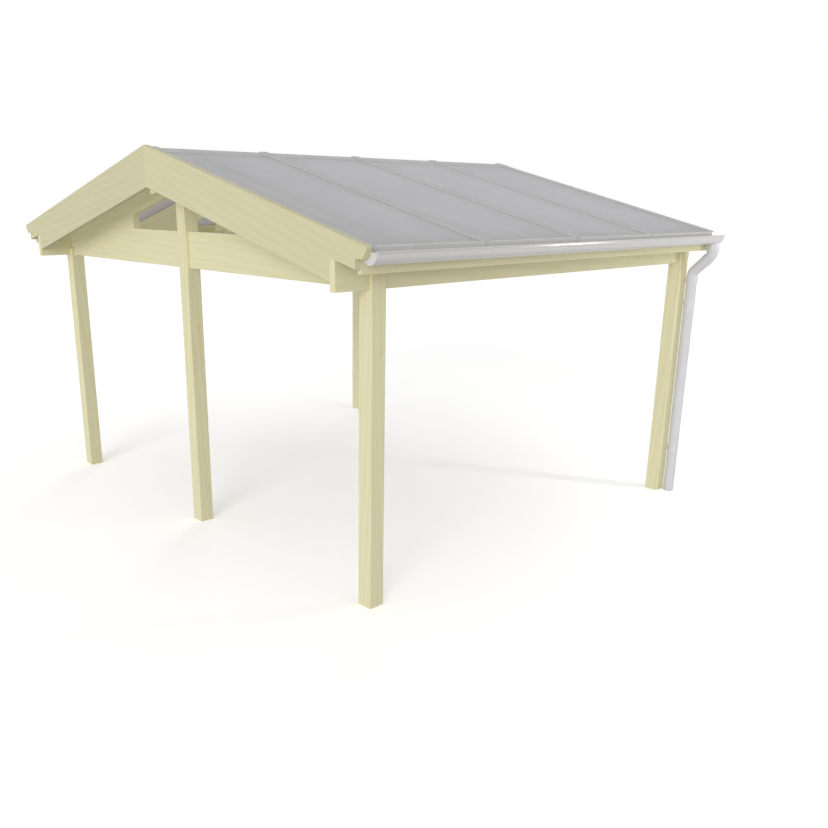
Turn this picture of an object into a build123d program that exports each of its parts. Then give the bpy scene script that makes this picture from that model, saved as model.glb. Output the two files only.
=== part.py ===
"""Veranda frame: a gabled open shelter on five glulam posts, with a sheet roof.

Millimetres. X runs across the gable, Y from the front gable to the rear one, Z up.
The origin is the middle of the ground plan, on the floor.
"""
from build123d import *
from math import cos, radians, sin, tan
import os

# Plan, over the outer faces of the posts
frame_width = 4250.0
frame_depth = 3660.0
post_size = 115.0

# Front and rear overhangs, from the posts to the inner faces of the gable boards
front_overhang = 217.0
rear_overhang = 12.0

# Side beams, set a little inside the outer faces of the posts
plate_bottom = 2040.0
plate_depth = 180.0
plate_thickness = 45.0
plate_setback = 20.0

# Tie beams, in the middle of the posts' thickness
tie_depth = 270.0
tie_thickness = 56.0
gusset_length = 412.0

# Roof slope and rafters
roof_angle = 14.3
rafter_depth = 225.0
rafter_thickness = 56.0
tail_depth = 93.0
ridge_beam_thickness = 56.0
ridge_beam_depth = 270.0

# Eaves
eaves_reach = 150.0
fascia_thickness = 28.0
fascia_drop = 72.0

# Gable boards
front_board_thickness = 45.0
front_board_rise = 55.0
rear_board_thickness = 28.0
gable_board_reach = 249.0
gable_toe_height = 57.0
gable_tip_cut = 39.0

# Roof sheets and the bars that hold them
bar_width = 60.0
bar_base = 10.0
bar_web = 12.0
bar_cap = 8.0
bar_count = 5
sheet_thickness = 25.0
sheet_play = 3.0
sheet_reach = 185.0
ridge_gap = 12.0
ridge_cap_width = 240.0
ridge_cap_thickness = 3.0
saddle_play = 0.5

# Gutters
gutter_radius = 62.5
gutter_wall = 2.0
gutter_side = 9.5
gutter_bead = 9.0
gutter_drop = 2.0
gutter_end_gap = 3.0
outlet_length = 250.0
joint_play = 0.4

# Flat bars inside the gutters that hold them to the eaves boards
hanger_width = 25.0
hanger_thickness = 3.0
hanger_drop = 2.0
hangers_per_side = 6

# Downpipes
pipe_radius = 44.0
pipe_wall = 2.0
pipe_stand_off = 57.0
pipe_set_forward = 8.0
pipe_shoulder_drop = 88.0
pipe_neck_rise = 33.0
pipe_neck_fall = 152.0
pipe_joint_drop = 45.0
pipe_floor_gap = 5.0
bend_radius = 70.0

# Pipe clips
lower_clip_level = 400.0
upper_clip_level = 1700.0
clip_height = 30.0
clip_thickness = 3.0
clip_stem = 12.0
clip_play = 0.3

# Worked out from the sizes above
slope = tan(radians(roof_angle))
tilt_cos = cos(radians(roof_angle))
tilt_sin = sin(radians(roof_angle))
half_width = frame_width / 2
roof_start = -front_overhang
roof_end = frame_depth + rear_overhang
overall_front = roof_start - front_board_thickness
overall_rear = roof_end + rear_board_thickness
y_shift = -(overall_front + overall_rear) / 2
plate_outer = half_width - plate_setback
plate_inner = plate_outer - plate_thickness
plate_top = plate_bottom + plate_depth
tie_top = plate_bottom + tie_depth
post_middle = post_size / 2
rear_middle = frame_depth - post_middle
fascia_outer = half_width + eaves_reach
fascia_inner = fascia_outer - fascia_thickness

# Heights of the sloping planes where they would meet over the ridge
tail_plane = plate_top + slope * plate_outer
rafter_plane = tail_plane + tail_depth / tilt_cos
rafter_under_plane = rafter_plane - rafter_depth / tilt_cos
tie_meeting = (rafter_under_plane - tie_top) / slope
sheet_under_plane = rafter_plane + bar_base / tilt_cos
sheet_top_plane = sheet_under_plane + sheet_thickness / tilt_cos


def height(plane, x):
    """Height of a sloping plane at the distance x from the ridge line."""
    return plane - slope * abs(x)


def board(points, start, thickness):
    """An upright board across the gable: its outline in X and Z, and its place along Y."""
    y = start + y_shift
    outline = Polyline(*[(x, y, z) for x, z in points], close=True)
    return extrude(make_face(outline), amount=thickness, dir=(0, 1, 0))


def block(x0, x1, y0, y1, z0, z1):
    """A square-cut piece between two corners."""
    centre = ((x0 + x1) / 2, (y0 + y1) / 2 + y_shift, (z0 + z1) / 2)
    return Pos(*centre) * Box(x1 - x0, y1 - y0, z1 - z0)


def mirrored(solid):
    """The same piece on the left side."""
    return mirror(solid, about=Plane.YZ)


# Posts

def corner_post(start):
    """A corner post, slotted for the side beam and cut to the underside of the rafter."""
    inner = half_width - post_size
    body = block(inner, half_width, start, start + post_size, 0, plate_bottom)
    inner_cheek = board(
        [
            (inner, plate_bottom),
            (plate_inner, plate_bottom),
            (plate_inner, height(rafter_under_plane, plate_inner)),
            (inner, height(rafter_under_plane, inner)),
        ],
        start,
        post_size,
    )
    outer_cheek = board(
        [
            (plate_outer, plate_bottom),
            (half_width, plate_bottom),
            (half_width, height(tail_plane, half_width)),
            (plate_outer, height(tail_plane, plate_outer)),
        ],
        start,
        post_size,
    )
    return body + inner_cheek + outer_cheek


def centre_post():
    """The front post under the ridge beam."""
    return block(-post_middle, post_middle, 0, post_size, 0, ridge_beam_bottom)


# Beams

ridge_half = ridge_beam_thickness / 2
ridge_beam_top = height(rafter_plane, ridge_half)
ridge_beam_bottom = ridge_beam_top - ridge_beam_depth


def wall_plate():
    """The right side beam, from the face of the front gable board to that of the rear one."""
    return block(plate_inner, plate_outer, overall_front, overall_rear, plate_bottom, plate_top)


def ridge_beam():
    """The ridge beam between the gable boards."""
    return block(-ridge_half, ridge_half, roof_start, roof_end, ridge_beam_bottom, ridge_beam_top)


def tie_outline(inner_end):
    """The right half of a tie beam: it narrows under the rafter towards the post."""
    outer_end = half_width - post_size
    return [
        (inner_end, plate_bottom),
        (outer_end, plate_bottom),
        (outer_end, height(rafter_under_plane, outer_end)),
        (tie_meeting, tie_top),
        (inner_end, tie_top),
    ]


def front_tie():
    """The right length of the front tie beam."""
    return board(tie_outline(post_middle), post_middle - tie_thickness / 2, tie_thickness)


def rear_tie():
    """The rear tie beam, in one length."""
    half = board(tie_outline(0), rear_middle - tie_thickness / 2, tie_thickness)
    return half + mirrored(half)


def king_post():
    """The short rear post between tie beam and ridge beam."""
    start = rear_middle - tie_thickness / 2
    return block(-post_middle, post_middle, start, start + tie_thickness, tie_top, ridge_beam_bottom)


def gusset(middle):
    """The wedge that closes the corner between a tie beam and the rafter above it."""
    inner_end = tie_meeting - gusset_length
    points = [
        (inner_end, tie_top),
        (tie_meeting, tie_top),
        (inner_end, height(rafter_under_plane, inner_end)),
    ]
    return board(points, middle - tie_thickness / 2, tie_thickness)


# Rafters

bar_first = roof_start + bar_width / 2
bar_last = roof_end - bar_width / 2
bar_pitch = (bar_last - bar_first) / (bar_count - 1)
bar_middles = [bar_first + i * bar_pitch for i in range(bar_count)]
rafter_middles = [post_middle] + bar_middles[1:-1] + [rear_middle]


def rafter(middle):
    """A right rafter: from the ridge beam down over the side beam to the eaves board."""
    points = [
        (ridge_half, height(rafter_plane, ridge_half)),
        (fascia_inner, height(rafter_plane, fascia_inner)),
        (fascia_inner, height(tail_plane, fascia_inner)),
        (plate_outer, plate_top),
        (plate_inner, plate_top),
        (plate_inner, height(rafter_under_plane, plate_inner)),
        (ridge_half, height(rafter_under_plane, ridge_half)),
    ]
    return board(points, middle - rafter_thickness / 2, rafter_thickness)


# Gable boards and eaves boards

def gable_underside():
    """The underside of a right gable board: from the eaves, over the side beam, to the ridge."""
    return [
        (fascia_outer, height(tail_plane, fascia_outer)),
        (plate_outer, plate_top),
        (plate_inner, plate_top),
        (plate_inner, height(rafter_under_plane, plate_inner)),
        (0, rafter_under_plane),
    ]


def front_gable_board():
    """The right front gable board: it stands over the sheets and has a tip past the gutter's back."""
    top_plane = rafter_plane + front_board_rise
    tip_x = half_width + gable_board_reach
    step_z = height(tail_plane, fascia_outer) + gable_toe_height
    tip = [
        (0, top_plane),
        (tip_x, height(top_plane, tip_x)),
        (tip_x - gable_tip_cut, step_z),
        (fascia_outer, step_z),
    ]
    return board(tip + gable_underside(), overall_front, front_board_thickness)


def rear_gable_board():
    """The right rear gable board: thinner, flush with the sheets and cut off at the eaves."""
    end = [(0, sheet_top_plane), (fascia_outer, height(sheet_top_plane, fascia_outer))]
    return board(end + gable_underside(), roof_end, rear_board_thickness)


def fascia():
    """The right eaves board, its top cut to the slope."""
    bottom = plate_top - fascia_drop
    points = [
        (fascia_inner, bottom),
        (fascia_outer, bottom),
        (fascia_outer, height(rafter_plane, fascia_outer)),
        (fascia_inner, height(rafter_plane, fascia_inner)),
    ]
    return board(points, roof_start, roof_end - roof_start)


# Roof sheets, their bars and the ridge cap

def sloped_strip(base_plane, low, high, x0, x1, start, width):
    """A strip along the right slope, between two distances square to a sloping plane."""
    def corner(x, rise):
        return (x + rise * tilt_sin, height(base_plane, x) + rise * tilt_cos)
    points = [corner(x0, low), corner(x1, low), corner(x1, high), corner(x0, high)]
    return board(points, start, width)


eaves_x = half_width + sheet_reach


def roof_sheet(index):
    """One right roof sheet, between two neighbouring bars."""
    start = bar_middles[index] + bar_web / 2 + sheet_play
    end = bar_middles[index + 1] - bar_web / 2 - sheet_play
    rise = bar_base
    return sloped_strip(rafter_plane, rise, rise + sheet_thickness, ridge_gap, eaves_x, start, end - start)


def glazing_bar(middle):
    """One right bar: a base on the rafter, a web between two sheets and a cap over them."""
    start = middle - bar_width / 2
    cap_low = bar_base + sheet_thickness
    base = sloped_strip(rafter_plane, 0, bar_base, ridge_gap, fascia_outer, start, bar_width)
    web = sloped_strip(rafter_plane, bar_base, cap_low, ridge_gap, eaves_x, middle - bar_web / 2, bar_web)
    cap = sloped_strip(rafter_plane, cap_low, cap_low + bar_cap, ridge_gap, eaves_x, start, bar_width)
    return base + web + cap


def folded_strip(low, high, start, width):
    """A strip folded over the ridge, between two distances square to the rafters' tops."""
    half = ridge_cap_width / 2
    base = rafter_plane + low / tilt_cos
    top = rafter_plane + high / tilt_cos
    points = [
        (-half, height(base, half)),
        (0, base),
        (half, height(base, half)),
        (half, height(top, half)),
        (0, top),
        (-half, height(top, half)),
    ]
    return board(points, start, width)


def ridge_cap():
    """The ridge strip: flat on the sheets, raised in a saddle over each pair of bars."""
    flat_low = bar_base + sheet_thickness
    saddle_low = flat_low + bar_cap
    inner_width = bar_width + 2 * saddle_play
    outer_width = inner_width + 2 * ridge_cap_thickness
    strip = folded_strip(flat_low, flat_low + ridge_cap_thickness, roof_start, roof_end - roof_start)
    for middle in bar_middles:
        strip += folded_strip(flat_low, saddle_low + ridge_cap_thickness, middle - outer_width / 2, outer_width)
    for middle in bar_middles:
        strip -= folded_strip(bar_base, saddle_low, middle - inner_width / 2, inner_width)
    reach = ridge_cap_width
    return strip & block(-reach, reach, roof_start, roof_end, plate_top, rafter_plane + reach)


# Gutters and the bars that hold them

gutter_middle = fascia_outer + gutter_radius
gutter_rim = height(sheet_under_plane, eaves_x) - gutter_drop
gutter_centre = gutter_rim - gutter_side


def gutter_body(radius, top, start, length):
    """A solid with a round bottom and upright sides, along the eaves."""
    y = start + y_shift
    right = gutter_middle + radius
    left = gutter_middle - radius
    bottom = ThreePointArc(
        (left, y, gutter_centre),
        (gutter_middle, y, gutter_centre - radius),
        (right, y, gutter_centre),
    )
    sides = Polyline((right, y, gutter_centre), (right, y, top), (left, y, top), (left, y, gutter_centre))
    return extrude(make_face(bottom + sides), amount=length, dir=(0, 1, 0))


gutter_start = roof_start + gutter_end_gap
gutter_length = overall_rear - gutter_start


def gutter_run():
    """The right gutter in one length: closed ends, a rolled outer lip and an outlet hole."""
    outside = gutter_body(gutter_radius, gutter_rim, gutter_start, gutter_length)
    inside = gutter_body(
        gutter_radius - gutter_wall,
        gutter_rim + gutter_wall,
        gutter_start + gutter_wall,
        gutter_length - 2 * gutter_wall,
    )
    lip_x = gutter_middle + gutter_radius + gutter_bead / 2 - gutter_wall
    lip_y = gutter_start + gutter_length / 2 + y_shift
    lip = Pos(lip_x, lip_y, gutter_rim) * Rot(90, 0, 0) * Cylinder(gutter_bead / 2, gutter_length)
    outlet = Pos(gutter_middle, pipe_y + y_shift, gutter_centre - gutter_radius)
    hole = outlet * Cylinder(pipe_radius - pipe_wall, gutter_radius)
    return outside + lip - inside - hole


outlet_start = overall_rear - outlet_length


def gutter_part(start, end):
    """What the right gutter has between two places along Y."""
    room = block(
        fascia_outer, gutter_middle + 2 * gutter_radius,
        start, end,
        gutter_centre - 2 * gutter_radius, gutter_rim + gutter_radius,
    )
    return gutter_run() & room


def gutter():
    """The right gutter, from its front end to the outlet piece."""
    return gutter_part(gutter_start, outlet_start - joint_play)


def gutter_outlet():
    """The right outlet piece: the rear end of the gutter, with the hole over the pipe."""
    return gutter_part(outlet_start, overall_rear)


def hanger(middle):
    """One right hanger: a flat bar across the inside of the gutter."""
    inner = gutter_radius - gutter_wall
    top = gutter_rim - hanger_drop
    return block(
        gutter_middle - inner, gutter_middle + inner,
        middle - hanger_width / 2, middle + hanger_width / 2,
        top - hanger_thickness, top,
    )


# Downpipes and their clips

pipe_y = frame_depth - pipe_set_forward
pipe_x = half_width + pipe_stand_off
pipe_shoulder = gutter_centre - gutter_radius - pipe_shoulder_drop
pipe_bend = pipe_shoulder - pipe_neck_fall
upper_pipe_joint = pipe_shoulder + pipe_neck_rise
lower_pipe_joint = pipe_bend - pipe_joint_drop


def straight_pipe(x, bottom, top):
    """An upright length of pipe."""
    length = top - bottom
    tube = Cylinder(pipe_radius, length) - Cylinder(pipe_radius - pipe_wall, length)
    return Pos(x, pipe_y + y_shift, bottom + length / 2) * tube


def outlet_pipe():
    """The right outlet pipe: a short length under the gutter, its top shaped to the gutter's round."""
    pipe = straight_pipe(gutter_middle, upper_pipe_joint, gutter_centre)
    return pipe - gutter_body(gutter_radius, gutter_rim, gutter_start, gutter_length)


def swan_neck():
    """The right swan neck: a tube with two bends, from the outlet pipe in to the downpipe."""
    y = pipe_y + y_shift
    path = FilletPolyline(
        (gutter_middle, y, upper_pipe_joint - joint_play),
        (gutter_middle, y, pipe_shoulder),
        (pipe_x, y, pipe_bend),
        (pipe_x, y, lower_pipe_joint),
        radius=bend_radius,
    )
    start = Plane(origin=path @ 0, z_dir=path % 0)
    ring = start * (Circle(pipe_radius) - Circle(pipe_radius - pipe_wall))
    return sweep(ring, path=path)


def downpipe():
    """The right downpipe: a straight length from the swan neck to just over the floor."""
    return straight_pipe(pipe_x, pipe_floor_gap, lower_pipe_joint - joint_play)


def pipe_clip(level):
    """One right clip: a ring round the pipe and a stem to the post."""
    inner = pipe_radius + clip_play
    ring = Cylinder(inner + clip_thickness, clip_height) - Cylinder(inner, clip_height)
    stem = block(
        half_width, pipe_x - inner - clip_thickness / 2,
        pipe_y - clip_stem / 2, pipe_y + clip_stem / 2,
        level - clip_height / 2, level + clip_height / 2,
    )
    return Pos(pipe_x, pipe_y + y_shift, level) * ring + stem


# The pieces, by name

pieces = {
    "post_front_right": corner_post(0),
    "post_rear_right": corner_post(frame_depth - post_size),
    "wall_plate_right": wall_plate(),
    "front_tie_right": front_tie(),
    "bargeboard_front_right": front_gable_board(),
    "bargeboard_rear_right": rear_gable_board(),
    "fascia_right": fascia(),
    "gutter_right": gutter(),
    "gutter_outlet_right": gutter_outlet(),
    "outlet_pipe_right": outlet_pipe(),
    "swan_neck_right": swan_neck(),
    "downpipe_right": downpipe(),
    "roof_sheets_right": Compound(children=[roof_sheet(i) for i in range(bar_count - 1)]),
}
for number, middle in enumerate(rafter_middles, start=1):
    pieces["rafter_right_%d" % number] = rafter(middle)
for name in list(pieces):
    pieces[name.replace("right", "left")] = mirrored(pieces[name])

pieces["post_front_centre"] = centre_post()
pieces["ridge_beam"] = ridge_beam()
pieces["rear_tie"] = rear_tie()
pieces["rear_king_post"] = king_post()
pieces["ridge_cap"] = ridge_cap()


def both_sides(solids):
    """Right pieces with their left twins, as one part of separate solids."""
    return Compound(children=[*solids, *[mirrored(s) for s in solids]])


hanger_pitch = gutter_length / hangers_per_side
hanger_middles = [gutter_start + (i + 0.5) * hanger_pitch for i in range(hangers_per_side)]
pieces["gable_gussets"] = both_sides([gusset(post_middle), gusset(rear_middle)])
pieces["glazing_bars"] = both_sides([glazing_bar(m) for m in bar_middles])
pieces["gutter_hangers"] = both_sides([hanger(m) for m in hanger_middles])
pieces["pipe_clips"] = both_sides([pipe_clip(lower_clip_level), pipe_clip(upper_clip_level)])

os.makedirs("parts", exist_ok=True)
for name, shape in pieces.items():
    export_step(shape, os.path.join("parts", name + ".step"))
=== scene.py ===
"""Looks of the gabled timber veranda frame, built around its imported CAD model. Metres, Z up."""

import math

import bpy
from mathutils import Matrix, Vector


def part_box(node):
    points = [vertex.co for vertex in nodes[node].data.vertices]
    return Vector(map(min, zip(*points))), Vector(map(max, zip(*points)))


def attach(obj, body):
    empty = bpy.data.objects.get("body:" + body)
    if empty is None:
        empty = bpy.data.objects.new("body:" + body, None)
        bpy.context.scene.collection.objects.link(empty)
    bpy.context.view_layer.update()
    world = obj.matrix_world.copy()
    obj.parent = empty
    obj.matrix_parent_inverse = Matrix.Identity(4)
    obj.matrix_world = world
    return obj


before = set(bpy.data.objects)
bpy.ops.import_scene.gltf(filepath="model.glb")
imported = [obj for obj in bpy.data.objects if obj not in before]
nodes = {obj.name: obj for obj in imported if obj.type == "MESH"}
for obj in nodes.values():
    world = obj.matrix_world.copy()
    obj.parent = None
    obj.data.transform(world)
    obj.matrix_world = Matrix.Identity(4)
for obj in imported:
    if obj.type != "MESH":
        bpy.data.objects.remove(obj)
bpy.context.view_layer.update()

# Sizes that the looks share with the CAD model
ROOF_ANGLE = math.radians(14.3)
TAN = math.tan(ROOF_ANGLE)
COS = math.cos(ROOF_ANGLE)
SIN = math.sin(ROOF_ANGLE)
RIDGE_HALF = 0.028
RAFTER_PAIRS = 5
SHEETS_PER_SLOPE = 4
SHEET_THICKNESS = 0.025
SHEET_JOINT = 0.018
SHEET_RISE = 0.010
BAR_HALF = 0.030
BAR_TOP = 0.043
LAMELLA = 0.0383
PIPE_RADIUS = 0.044

# Places taken from the frame
rafter_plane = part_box("rafter_right_1")[1].z + RIDGE_HALF * TAN
front_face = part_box("bargeboard_front_right")[0].y
roof_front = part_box("bargeboard_front_right")[1].y
rear_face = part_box("bargeboard_rear_right")[1].y


def new_object(name, data):
    """An object in the scene that shows the data."""
    obj = bpy.data.objects.new(name, data)
    bpy.context.scene.collection.objects.link(obj)
    return obj


# Materials

class Graph:
    """A short way to write a material's nodes."""

    def __init__(self, name):
        self.material = bpy.data.materials.new(name)
        self.material.use_nodes = True
        self.tree = self.material.node_tree
        self.shader = self.tree.nodes["Principled BSDF"]

    def node(self, kind, inputs=None, **settings):
        made = self.tree.nodes.new(kind)
        for key, value in settings.items():
            setattr(made, key, value)
        for key, value in (inputs or {}).items():
            self.feed(made.inputs[key], value)
        return made

    def feed(self, socket, value):
        """Links a socket to another, or sets it to a plain value."""
        if isinstance(value, bpy.types.NodeSocket):
            self.tree.links.new(value, socket)
        else:
            socket.default_value = value

    def math(self, operation, a, b):
        return self.node("ShaderNodeMath", {0: a, 1: b}, operation=operation).outputs[0]

    def times(self, a, b):
        return self.math("MULTIPLY", a, b)

    def mix(self, share, a, b, blend="MIX"):
        """Colour a, with the share of colour b over it."""
        made = self.node("ShaderNodeMix", data_type="RGBA", blend_type=blend)
        self.feed(made.inputs[0], share)
        self.feed(made.inputs[6], a)
        self.feed(made.inputs[7], b)
        return made.outputs[2]

    def noise(self, vector, scale, detail=3.0, rough=0.5):
        inputs = {"Vector": vector, "Scale": scale, "Detail": detail, "Roughness": rough}
        return self.node("ShaderNodeTexNoise", inputs).outputs["Fac"]

    def spread(self, value, low, high, to_low=0.0, to_high=1.0):
        """The value, with low to high stretched to to_low to to_high."""
        inputs = {"Value": value, "From Min": low, "From Max": high, "To Min": to_low, "To Max": to_high}
        return self.node("ShaderNodeMapRange", inputs).outputs[0]

    def bump(self, height, distance, strength):
        made = self.node("ShaderNodeBump", {"Height": height, "Distance": distance, "Strength": strength})
        self.feed(self.shader.inputs["Normal"], made.outputs[0])

    def place(self, turn=(0.0, 0.0, 0.0)):
        """Object coordinates, turned, and the same shifted from piece to piece."""
        where = self.node("ShaderNodeTexCoord").outputs["Object"]
        luck = self.node("ShaderNodeObjectInfo").outputs["Random"]
        turned = self.node("ShaderNodeMapping", {"Vector": where, "Rotation": turn}).outputs[0]
        shift = self.node("ShaderNodeVectorMath", {0: (7.0, 3.0, 5.0)}, operation="SCALE")
        self.feed(shift.inputs["Scale"], luck)
        moved = self.node("ShaderNodeVectorMath", {0: turned, 1: shift.outputs[0]}, operation="ADD")
        return turned, moved.outputs[0]

    def stretched(self, vector, scale):
        return self.node("ShaderNodeMapping", {"Vector": vector, "Scale": scale}).outputs[0]


EARLY_WOOD = (0.790, 0.745, 0.485, 1)
LATE_WOOD = (0.735, 0.684, 0.430, 1)
DARK_FIBRE = (0.62, 0.56, 0.33, 1)
PALE_CLOUD = (0.82, 0.78, 0.54, 1)
KNOT_BROWN = (0.50, 0.41, 0.22, 1)
GLUE_BROWN = (0.52, 0.45, 0.25, 1)
GLUE_EDGE = 0.0011
GLUE_CORE = 0.0003
WOOD_RELIEF = 0.0006


def wood(name, turn, glued_from=None, painted_shade=1.0):
    """Planed pale softwood, its grain along the turned X.

    A laminated piece has glue lines across its turned Z, counted from glued_from.
    Its colour is darkened by the painted shade factor, a painted shade for a piece on which less light
    falls.
    """
    g = Graph(name)
    turned, moved = g.place(turn)
    rings = g.noise(g.stretched(moved, (0.35, 16.0, 16.0)), 3.0, 3.0, 0.55)
    fibre = g.noise(g.stretched(moved, (2.0, 150.0, 150.0)), 3.0, 4.0, 0.6)
    cloud = g.noise(g.stretched(moved, (0.8, 2.5, 2.5)), 1.4, 2.0)
    waves = {"Vector": g.stretched(moved, (0.06, 1.0, 1.0)), "Scale": 11.0, "Distortion": 5.0, "Detail": 2.0,
             "Detail Scale": 1.4}
    band = g.node("ShaderNodeTexWave", waves, wave_type="BANDS", bands_direction="DIAGONAL").outputs["Fac"]
    tone = g.math("ADD", g.times(rings, 0.55), g.times(band, 0.30))
    color = g.mix(g.spread(tone, 0.28, 0.75), EARLY_WOOD, LATE_WOOD)
    color = g.mix(g.times(g.spread(fibre, 0.52, 0.78), 0.14), color, DARK_FIBRE)
    color = g.mix(g.times(g.spread(cloud, 0.35, 0.75), 0.15), color, PALE_CLOUD)
    knots = g.node("ShaderNodeTexVoronoi", {"Vector": g.stretched(moved, (1.3, 5.0, 5.0)), "Scale": 1.0})
    knot = g.spread(knots.outputs["Distance"], 0.060, 0.025)
    color = g.mix(g.times(knot, 0.18), color, KNOT_BROWN)
    height = g.math("ADD", g.times(fibre, 0.7), g.times(band, 0.3))
    if glued_from is not None:
        parts = g.node("ShaderNodeSeparateXYZ", {0: turned})
        across = g.math("SUBTRACT", parts.outputs["Z"], glued_from)
        line = g.math("PINGPONG", across, LAMELLA / 2)
        edge = g.spread(line, GLUE_EDGE, GLUE_CORE)
        color = g.mix(g.times(edge, 0.30), color, GLUE_BROWN)
        height = g.math("SUBTRACT", height, g.times(edge, 0.8))
    # Painted shade: the whole colour is darkened by the painted shade factor, standing in for less light on
    # the piece
    color = g.mix(1.0, color, (painted_shade, painted_shade, painted_shade, 1), "MULTIPLY")
    g.feed(g.shader.inputs["Base Color"], color)
    g.feed(g.shader.inputs["Roughness"], g.spread(fibre, 0.3, 0.7, 0.56, 0.70))
    g.shader.inputs["Specular IOR Level"].default_value = 0.30
    g.bump(height, WOOD_RELIEF, 0.55)
    return g.material


SHEET_LIGHT = (0.570, 0.570, 0.564, 1)
SHEET_DARK = (0.528, 0.528, 0.528, 1)
SHEET_WALL = (0.50, 0.50, 0.51, 1)
SHEET_STREAK = (0.52, 0.515, 0.49, 1)
SHEET_GLOW = (0.90, 0.88, 0.95, 1)
GLOW_SHARE = 0.34
WALL_SPACING = 0.016
WALL_CORE = 0.0006
WALL_EDGE = 0.0022
WALL_RELIEF = 0.0003


def sheet_material(name, turn):
    """Opal multiwall sheet: satin, with its inner walls just showing as lines down the slope."""
    g = Graph(name)
    turned, moved = g.place(turn)
    parts = g.node("ShaderNodeSeparateXYZ", {0: turned})
    line = g.math("PINGPONG", parts.outputs["Y"], WALL_SPACING / 2)
    walls = g.spread(line, WALL_CORE, WALL_EDGE, 1.0, 0.0)
    haze = g.noise(moved, 1.6, 3.0)
    streak = g.noise(g.stretched(moved, (0.5, 9.0, 9.0)), 2.0, 3.0)
    color = g.mix(g.spread(haze, 0.3, 0.75), SHEET_LIGHT, SHEET_DARK)
    color = g.mix(g.times(walls, 0.16), color, SHEET_WALL)
    color = g.mix(g.times(g.spread(streak, 0.55, 0.8), 0.15), color, SHEET_STREAK)
    g.feed(g.shader.inputs["Base Color"], color)
    g.feed(g.shader.inputs["Roughness"], g.spread(streak, 0.3, 0.8, 0.36, 0.52))
    g.shader.inputs["Specular IOR Level"].default_value = 0.35
    g.bump(walls, WALL_RELIEF, 0.35)
    through = g.node("ShaderNodeBsdfTranslucent", {"Color": SHEET_GLOW})
    both = g.node("ShaderNodeMixShader", {0: GLOW_SHARE, 1: g.shader.outputs[0], 2: through.outputs[0]})
    g.tree.links.new(both.outputs[0], g.tree.nodes["Material Output"].inputs["Surface"])
    return g.material


RUN_MARK = (0.50, 0.49, 0.46, 1)
PLASTIC_RELIEF = 0.0004


def plastic(name, light, dark, rough_low, rough_high):
    """Smooth moulded plastic with faint mottling and run marks."""
    g = Graph(name)
    _, moved = g.place()
    mottle = g.noise(moved, 7.0, 4.0)
    runs = g.noise(g.stretched(moved, (30.0, 30.0, 1.2)), 1.5, 3.0)
    color = g.mix(g.spread(mottle, 0.3, 0.75), light, dark)
    color = g.mix(g.times(g.spread(runs, 0.55, 0.85), 0.06), color, RUN_MARK)
    g.feed(g.shader.inputs["Base Color"], color)
    g.feed(g.shader.inputs["Roughness"], g.spread(mottle, 0.3, 0.75, rough_low, rough_high))
    g.bump(mottle, PLASTIC_RELIEF, 0.15)
    return g.material


METAL_STAIN = (0.42, 0.42, 0.40, 1)
METAL_RELIEF = 0.0002


def metal(name, light, dark, metallic, rough):
    """Drawn or pressed metal with fine lines along the part."""
    g = Graph(name)
    _, moved = g.place()
    lines = g.noise(g.stretched(moved, (3.0, 160.0, 160.0)), 2.0, 3.0)
    stain = g.noise(moved, 5.0, 4.0)
    color = g.mix(g.spread(lines, 0.3, 0.7), light, dark)
    color = g.mix(g.times(g.spread(stain, 0.55, 0.8), 0.2), color, METAL_STAIN)
    g.feed(g.shader.inputs["Base Color"], color)
    g.shader.inputs["Metallic"].default_value = metallic
    g.feed(g.shader.inputs["Roughness"], g.spread(stain, 0.3, 0.8, rough, rough + 0.15))
    g.bump(lines, METAL_RELIEF, 0.25)
    return g.material


# Turns that lay the grain along the piece
UPRIGHT = (0.0, math.pi / 2, 0.0)
ACROSS = (0.0, 0.0, 0.0)
ALONG = (0.0, 0.0, -math.pi / 2)
DOWN_SLOPE = {"right": (0.0, -ROOF_ANGLE, 0.0), "left": (0.0, ROOF_ANGLE, 0.0)}
# Painted shade on the gable boards: their wood is darkened, the left board more than the right, as if less
# light fell on them
GABLE_PAINTED_SHADE = {"right": 0.85, "left": 0.80}

wood_post = wood("wood_post", UPRIGHT, glued_from=0.0)
wood_tie = wood("wood_tie", ACROSS, glued_from=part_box("rear_tie")[0].z)
wood_plate = wood("wood_plate", ALONG)
wood_ridge = wood("wood_ridge", ALONG, glued_from=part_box("ridge_beam")[0].z)
wood_slope = {side: wood("wood_slope_" + side, turn) for side, turn in DOWN_SLOPE.items()}
wood_gable = {
    side: wood("wood_gable_" + side, turn, painted_shade=GABLE_PAINTED_SHADE[side]) for side, turn in DOWN_SLOPE.items()
}
sheet = {side: sheet_material("sheet_" + side, turn) for side, turn in DOWN_SLOPE.items()}
gutter_plastic = plastic(
    "gutter_plastic", light=(0.685, 0.675, 0.665, 1), dark=(0.650, 0.642, 0.636, 1),
    rough_low=0.16, rough_high=0.22)
pipe_plastic = plastic(
    "pipe_plastic", light=(0.635, 0.625, 0.645, 1), dark=(0.595, 0.585, 0.605, 1),
    rough_low=0.30, rough_high=0.40)
bar_metal = metal(
    "bar_metal", light=(0.520, 0.520, 0.515, 1), dark=(0.480, 0.480, 0.478, 1), metallic=0.1, rough=0.46)
ridge_metal = metal(
    "ridge_metal", light=(0.505, 0.505, 0.500, 1), dark=(0.465, 0.465, 0.462, 1), metallic=0.1, rough=0.46)
trim_metal = metal(
    "trim_metal", light=(0.640, 0.640, 0.632, 1), dark=(0.590, 0.590, 0.588, 1), metallic=0.1, rough=0.42)
bracket_metal = metal(
    "bracket_metal", light=(0.660, 0.650, 0.670, 1), dark=(0.610, 0.602, 0.620, 1), metallic=0.1, rough=0.40)
screw_metal = metal(
    "screw_metal", light=(0.560, 0.560, 0.550, 1), dark=(0.480, 0.480, 0.475, 1), metallic=0.8, rough=0.34)


def side_of(name):
    return "left" if "left" in name else "right"


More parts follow.
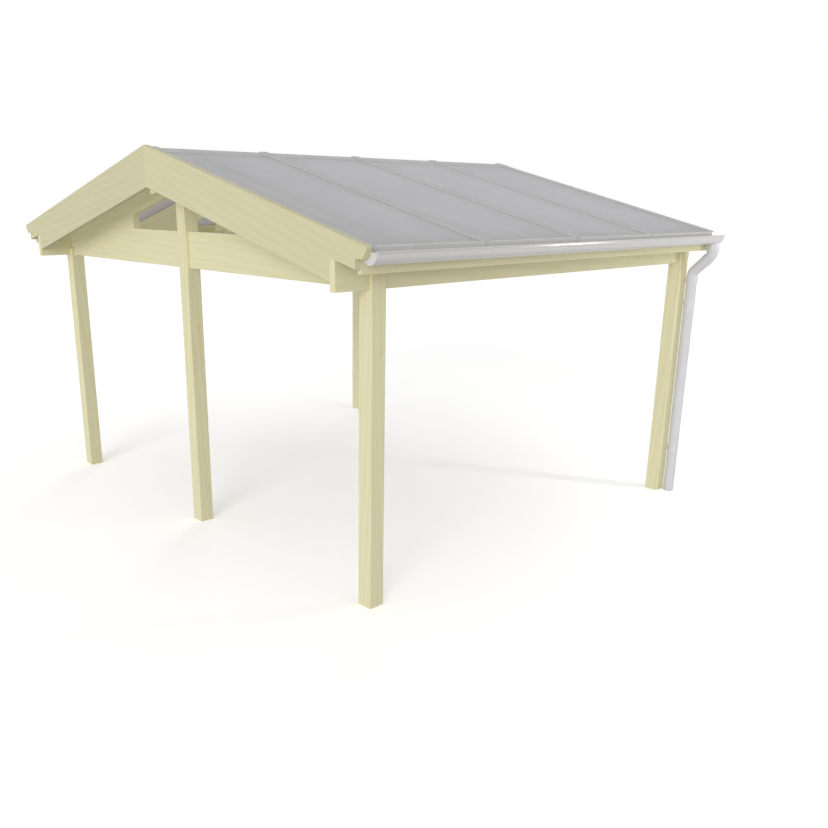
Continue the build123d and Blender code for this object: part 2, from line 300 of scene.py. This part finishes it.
def material_of(name):
    """The material of a CAD node, by its name."""
    if name.startswith(("post_", "rear_king")):
        return wood_post
    if name.startswith(("front_tie", "rear_tie", "gable_gussets")):
        return wood_tie
    if name.startswith(("wall_plate", "fascia")):
        return wood_plate
    if name.startswith("bargeboard"):
        return wood_gable[side_of(name)]
    if name.startswith("rafter"):
        return wood_slope[side_of(name)]
    if name.startswith("roof_sheet"):
        return sheet[side_of(name)]
    if name.startswith(("outlet_pipe", "swan_neck", "downpipe")):
        return pipe_plastic
    if name.startswith(("gutter_hangers", "pipe_clips")):
        return bracket_metal
    if name.startswith("gutter"):
        return gutter_plastic
    return {"ridge_beam": wood_ridge, "glazing_bars": bar_metal, "ridge_cap": ridge_metal}[name]


# Edges of the CAD nodes

WELD_DISTANCE = 0.00005
FLAT_ANGLE = math.radians(0.5)
EDGE_ANGLE = math.radians(30)

# How far each node's edges are eased, by the start of its name
EDGE = {
    "post": 0.004,
    "rear_": 0.0025,
    "front_tie": 0.0025,
    "wall_plate": 0.0025,
    "ridge_beam": 0.0025,
    "rafter": 0.0025,
    "bargeboard": 0.0025,
    "fascia": 0.0015,
    "gable_gussets": 0.0008,
    "roof_sheet": 0.001,
    "glazing_bars": 0.001,
}


def ease_edges(obj, width):
    """Rounds the sharp edges of a CAD node, as a planer or an extrusion die leaves them."""
    weld = obj.modifiers.new("weld", "WELD")
    weld.merge_threshold = WELD_DISTANCE
    flat = obj.modifiers.new("flat", "DECIMATE")
    flat.decimate_type = "DISSOLVE"
    flat.angle_limit = FLAT_ANGLE
    bevel = obj.modifiers.new("bevel", "BEVEL")
    bevel.width = width
    bevel.segments = 2
    bevel.limit_method = "ANGLE"
    bevel.angle_limit = EDGE_ANGLE
    bevel.harden_normals = True


for name, obj in nodes.items():
    obj.data.materials.clear()
    obj.data.materials.append(material_of(name))
    for start, width in EDGE.items():
        if name.startswith(start):
            ease_edges(obj, width)


# Small pieces in mesh code

SMOOTH_ANGLE = math.radians(35)


def ring_points(profile, sides):
    """Rings of points about Z, one for each radius and height of the profile."""
    points = []
    for radius, z in profile:
        for i in range(sides):
            turn = 2 * math.pi * i / sides
            points.append(Vector((radius * math.cos(turn), radius * math.sin(turn), z)))
    return points


def ring_faces(rings, sides, closed):
    """Faces from each ring to the next, and where the profile is closed, from the last to the first."""
    faces = []
    for ring in range(rings if closed else rings - 1):
        low = ring * sides
        high = (ring + 1) % rings * sides
        for i in range(sides):
            after = (i + 1) % sides
            faces.append((low + i, low + after, high + after, high + i))
    return faces


def lathe(profile, sides=14):
    """A solid body turned about Z from a profile of radius and height, bottom to top."""
    faces = ring_faces(len(profile), sides, closed=False)
    faces.append(tuple(reversed(range(sides))))
    faces.append(tuple(range((len(profile) - 1) * sides, len(profile) * sides)))
    return ring_points(profile, sides), faces


def sleeve(inner, outer, length, edge, sides=40):
    """A short tube about Z with eased rims, centred on the origin."""
    half = length / 2
    profile = [
        (inner, -half), (outer - edge, -half), (outer, -half + edge), (outer, half - edge),
        (outer - edge, half), (inner, half),
    ]
    return ring_points(profile, sides), ring_faces(len(profile), sides, closed=True)


class Piece:
    """Many small bodies gathered in one mesh."""

    def __init__(self, name, material, slot, smooth=True):
        self.name = name
        self.material = material
        self.slot = slot
        self.smooth = smooth
        self.verts = []
        self.faces = []

    def add(self, body, where):
        verts, faces = body
        first = len(self.verts)
        self.verts += [where @ v for v in verts]
        self.faces += [tuple(first + i for i in f) for f in faces]

    def both(self, body, where):
        """The body on the right side, and its mirror image on the left."""
        self.add(body, where)
        flip = Matrix.Scale(-1, 4, (1, 0, 0))
        verts, faces = body
        self.add((verts, [tuple(reversed(f)) for f in faces]), flip @ where)

    def finish(self):
        mesh = bpy.data.meshes.new(self.name)
        mesh.from_pydata(self.verts, [], self.faces)
        mesh.validate()
        mesh.update()
        obj = new_object(self.name, mesh)
        obj.data.materials.append(self.material)
        if self.smooth:
            mesh.shade_smooth()
            mesh.set_sharp_from_angle(angle=SMOOTH_ANGLE)
        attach(obj, "root")


def facing(point, normal):
    """A place whose Z is the normal."""
    turned = Vector((0, 0, 1)).rotation_difference(Vector(normal))
    return Matrix.Translation(point) @ turned.to_matrix().to_4x4()


def on_slope(x, y, rise):
    """A point on the right slope: rise is square to the rafters' tops."""
    return Vector((x + rise * SIN, y, rafter_plane - x * TAN + rise * COS))


# Screws along the glazing bars, each on a sealing washer

SEAL_WASHER = lathe([(0.0085, 0.0), (0.0085, 0.0012), (0.0075, 0.0022), (0.0050, 0.0025)])
HEX_HEAD = lathe([(0.0052, 0.0), (0.0052, 0.0040), (0.0044, 0.0050)], sides=6)
HEAD_SEAT = 0.0024
SCREWS_PER_BAR = 7
FIRST_SCREW_X = 0.20
LAST_SCREW_X = 2.26

first_bar = roof_front + BAR_HALF
last_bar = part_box("glazing_bars")[1].y - BAR_HALF
bar_step = (last_bar - first_bar) / SHEETS_PER_SLOPE
screw_step = (LAST_SCREW_X - FIRST_SCREW_X) / (SCREWS_PER_BAR - 1)
bar_rows = [first_bar + i * bar_step for i in range(SHEETS_PER_SLOPE + 1)]
up_slope = (SIN, 0, COS)

bar_screws = Piece("bar_screws", screw_metal, "bracket")
for y in bar_rows:
    for i in range(SCREWS_PER_BAR):
        x = FIRST_SCREW_X + i * screw_step
        bar_screws.both(SEAL_WASHER, facing(on_slope(x, y, BAR_TOP), up_slope))
        bar_screws.both(HEX_HEAD, facing(on_slope(x, y, BAR_TOP + HEAD_SEAT), up_slope))
bar_screws.finish()

# Screws in the gable boards, into the ridge beam and the side beams, and in the eaves boards

FLAT_HEAD = lathe([(0.0052, 0.0), (0.0052, 0.0004), (0.0043, 0.0011), (0.0020, 0.0013)])
EAVES_SCREW_HEIGHT = 0.035

# A gable board's middle lies this far under the rafters' plane. Its screws are given by their distance
# from the middle of the gable, with their heights over the board's middle.
GABLE_MIDDLE = 0.11
RIDGE_SCREW_HEIGHTS = (0.070, -0.060)
SIDE_SCREW_HEIGHTS = (0.055, 0.015)
GABLE_SCREWS = {0.055: RIDGE_SCREW_HEIGHTS, 2.000: SIDE_SCREW_HEIGHTS, 2.130: SIDE_SCREW_HEIGHTS}

board_screws = Piece("board_screws", screw_metal, "bracket")
for y, normal in ((front_face, (0, -1, 0)), (rear_face, (0, 1, 0))):
    for x, heights in GABLE_SCREWS.items():
        middle = rafter_plane - x * TAN - GABLE_MIDDLE
        for height in heights:
            board_screws.both(FLAT_HEAD, facing(Vector((x, y, middle + height)), normal))
fascia_low, fascia_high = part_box("fascia_right")
for i in range(RAFTER_PAIRS):
    low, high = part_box("rafter_right_%d" % (i + 1))
    spot = Vector((fascia_high.x, (low.y + high.y) / 2, fascia_low.z + EAVES_SCREW_HEIGHT))
    board_screws.both(FLAT_HEAD, facing(spot, (1, 0, 0)))
board_screws.finish()

# Rings where the pipes are joined: a collar over each swan neck, a socket down its slope and one under it

SOCKET_PLAY = 0.0002
SOCKET_WALL = 0.0034
COLLAR_WALL = 0.0040
SOCKET = sleeve(PIPE_RADIUS + SOCKET_PLAY, PIPE_RADIUS + SOCKET_WALL, length=0.045, edge=0.0012)
COLLAR = sleeve(PIPE_RADIUS + SOCKET_PLAY, PIPE_RADIUS + COLLAR_WALL, length=0.030, edge=0.0014)
COLLAR_HEIGHT = 2.150
NECK_TOP = 2.112
NECK_BOTTOM = 1.960
SOCKET_DOWN_NECK = 0.060
SOCKET_UNDER_NECK = 0.062

pipe_low, pipe_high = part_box("downpipe_right")
pipe_y = (pipe_low.y + pipe_high.y) / 2
drop_x = pipe_low.x + PIPE_RADIUS
outlet_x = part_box("swan_neck_right")[1].x - PIPE_RADIUS
neck = Vector((drop_x - outlet_x, 0, NECK_BOTTOM - NECK_TOP)).normalized()

pipe_sockets = Piece("pipe_sockets", pipe_plastic, "downpipe")
pipe_sockets.both(COLLAR, Matrix.Translation((outlet_x, pipe_y, COLLAR_HEIGHT)))
pipe_sockets.both(SOCKET, facing(Vector((outlet_x, pipe_y, NECK_TOP)) + neck * SOCKET_DOWN_NECK, neck))
pipe_sockets.both(SOCKET, Matrix.Translation((drop_x, pipe_y, NECK_BOTTOM - SOCKET_UNDER_NECK)))
pipe_sockets.finish()

# The edge trims that close the lower ends of the sheets

TRIM_WALL = 0.0015
TRIM_LIP = 0.018
TRIM_NOSE = 0.011
TRIM_PLAY = 0.0001
EAVES_X = 2.310


def trim_body(length):
    """A U-shaped profile along Y with a drip nose, open towards the sheet that it closes."""
    top = SHEET_THICKNESS + TRIM_WALL
    outline = [
        (-TRIM_LIP, -TRIM_WALL), (TRIM_PLAY, -TRIM_WALL), (TRIM_PLAY, -TRIM_NOSE), (TRIM_WALL, -TRIM_NOSE),
        (TRIM_WALL, top), (-TRIM_LIP, top), (-TRIM_LIP, SHEET_THICKNESS + TRIM_PLAY),
        (TRIM_PLAY, SHEET_THICKNESS + TRIM_PLAY), (TRIM_PLAY, -TRIM_PLAY), (-TRIM_LIP, -TRIM_PLAY),
    ]
    verts = [Vector((x, y, z)) for y in (0.0, length) for x, z in outline]
    n = len(outline)
    faces = [(i, i + n, (i + 1) % n + n, (i + 1) % n) for i in range(n)]
    ends = [(0, 1, 8, 9), (2, 3, 4, 7, 8, 1), (4, 5, 6, 7)]
    faces += ends + [tuple(n + i for i in reversed(f)) for f in ends]
    return verts, faces


sloping = Matrix.Rotation(ROOF_ANGLE, 4, "Y")
trims = Piece("sheet_trims", trim_metal, "glazing_bar", smooth=False)
for before, after in zip(bar_rows, bar_rows[1:]):
    start = before + SHEET_JOINT / 2
    end = after - SHEET_JOINT / 2
    corner = Matrix.Translation(on_slope(EAVES_X, start, SHEET_RISE))
    trims.both(trim_body(end - start), corner @ sloping)
trims.finish()


# Floor and world

AMBIENT = 0.56
FLOOR_HALF = 150.0
FLOOR_GREY = (0.42, 0.42, 0.41, 1)
FLOOR_WHITE = (1.58, 1.58, 1.58, 1)


def background_rays(tree):
    """1 for rays that show the background itself: the camera's, and those of clear gloss and glass."""
    rays = tree.nodes.new("ShaderNodeLightPath")
    found = rays.outputs["Is Camera Ray"]
    for kind in ("Is Glossy Ray", "Is Transmission Ray"):
        either = tree.nodes.new("ShaderNodeMath")
        either.operation = "MAXIMUM"
        tree.links.new(found, either.inputs[0])
        tree.links.new(rays.outputs[kind], either.inputs[1])
        found = either.outputs[0]
    return found


def white_floor():
    """A pale grey floor that shows as white, with the object's shadow kept."""
    made = bpy.data.materials.new("floor")
    made.use_nodes = True
    tree = made.node_tree
    tree.nodes.clear()
    mix = tree.nodes.new("ShaderNodeMix")
    mix.data_type = "RGBA"
    tree.links.new(background_rays(tree), mix.inputs[0])
    mix.inputs[6].default_value = FLOOR_GREY
    mix.inputs[7].default_value = FLOOR_WHITE
    shader = tree.nodes.new("ShaderNodeBsdfDiffuse")
    tree.links.new(mix.outputs[2], shader.inputs["Color"])
    out = tree.nodes.new("ShaderNodeOutputMaterial")
    tree.links.new(shader.outputs[0], out.inputs[0])
    return made


def pale_world():
    """An even light from all sides, which shows as white."""
    made = bpy.data.worlds.new("world")
    made.use_nodes = True
    tree = made.node_tree
    back = tree.nodes["Background"]
    back.inputs["Color"].default_value = (1, 1, 1, 1)
    level = tree.nodes.new("ShaderNodeMapRange")
    level.inputs["To Min"].default_value = AMBIENT
    level.inputs["To Max"].default_value = 1.0
    tree.links.new(background_rays(tree), level.inputs["Value"])
    tree.links.new(level.outputs[0], back.inputs["Strength"])
    return made


corners = [(-FLOOR_HALF, -FLOOR_HALF, 0), (FLOOR_HALF, -FLOOR_HALF, 0), (FLOOR_HALF, FLOOR_HALF, 0),
           (-FLOOR_HALF, FLOOR_HALF, 0)]
floor_mesh = bpy.data.meshes.new("floor")
floor_mesh.from_pydata(corners, [], [(0, 1, 2, 3)])
floor = new_object("floor", floor_mesh)
floor.data.materials.append(white_floor())
bpy.context.scene.world = pale_world()


# Lamps

SUN_SPREAD = math.radians(30)


def broad_sun(name, towards, strength, shadow=True, gloss=True):
    """A sun lamp with a wide disc, for soft shadows: it lies in the direction given."""
    lamp = bpy.data.lights.new(name, "SUN")
    lamp.energy = strength
    lamp.angle = SUN_SPREAD
    lamp.use_shadow = shadow
    obj = new_object(name, lamp)
    obj.visible_glossy = gloss
    obj.rotation_mode = "QUATERNION"
    obj.rotation_quaternion = Vector(towards).to_track_quat("Z", "Y")


def small_lamp(name, place, power, size):
    """A small round lamp, for a highlight."""
    lamp = bpy.data.lights.new(name, "POINT")
    lamp.energy = power
    lamp.shadow_soft_size = size
    new_object(name, lamp).location = place


broad_sun("key", towards=(0.52, -0.82, 0.22), strength=1.20)
broad_sun("fill", towards=(0.44, -0.86, -0.25), strength=0.88, shadow=False, gloss=False)
broad_sun("fill_back", towards=(-0.70, 0.70, 0.14), strength=0.75, gloss=False)
small_lamp("glint", place=(4.80, 3.35, 2.0), power=85, size=0.16)

# The camera stands where the photograph's does: yaw to the left, pitch down, and a slight roll

EYE = Vector((5.757, -5.0224, 2.5366))
YAW = 0.835805514
PITCH = 0.292743579
ROLL = -0.00483425619
FOCAL_PX = 839.084828
CENTRE_X_PX = 368.494281
CENTRE_Y_PX = 453.364869
SIDE_PX = 828
SENSOR_MM = 36.0
FARTHEST = 500

forward = Vector((-math.sin(YAW) * math.cos(PITCH), math.cos(YAW) * math.cos(PITCH), -math.sin(PITCH)))
level_right = Vector((math.cos(YAW), math.sin(YAW), 0))
level_down = forward.cross(level_right)
right = math.cos(ROLL) * level_right + math.sin(ROLL) * level_down
down = -math.sin(ROLL) * level_right + math.cos(ROLL) * level_down
turn = Matrix((right, -down, -forward)).transposed()

camera = new_object("camera", bpy.data.cameras.new("camera"))
camera.data.sensor_width = SENSOR_MM
camera.data.lens = FOCAL_PX / SIDE_PX * SENSOR_MM
camera.data.shift_x = (SIDE_PX / 2 - CENTRE_X_PX) / SIDE_PX
camera.data.shift_y = (CENTRE_Y_PX - SIDE_PX / 2) / SIDE_PX
camera.data.clip_end = FARTHEST
camera.matrix_world = Matrix.Translation(EYE) @ turn.to_4x4()
bpy.context.scene.camera = camera
bpy.context.scene.view_settings.view_transform = "Standard"
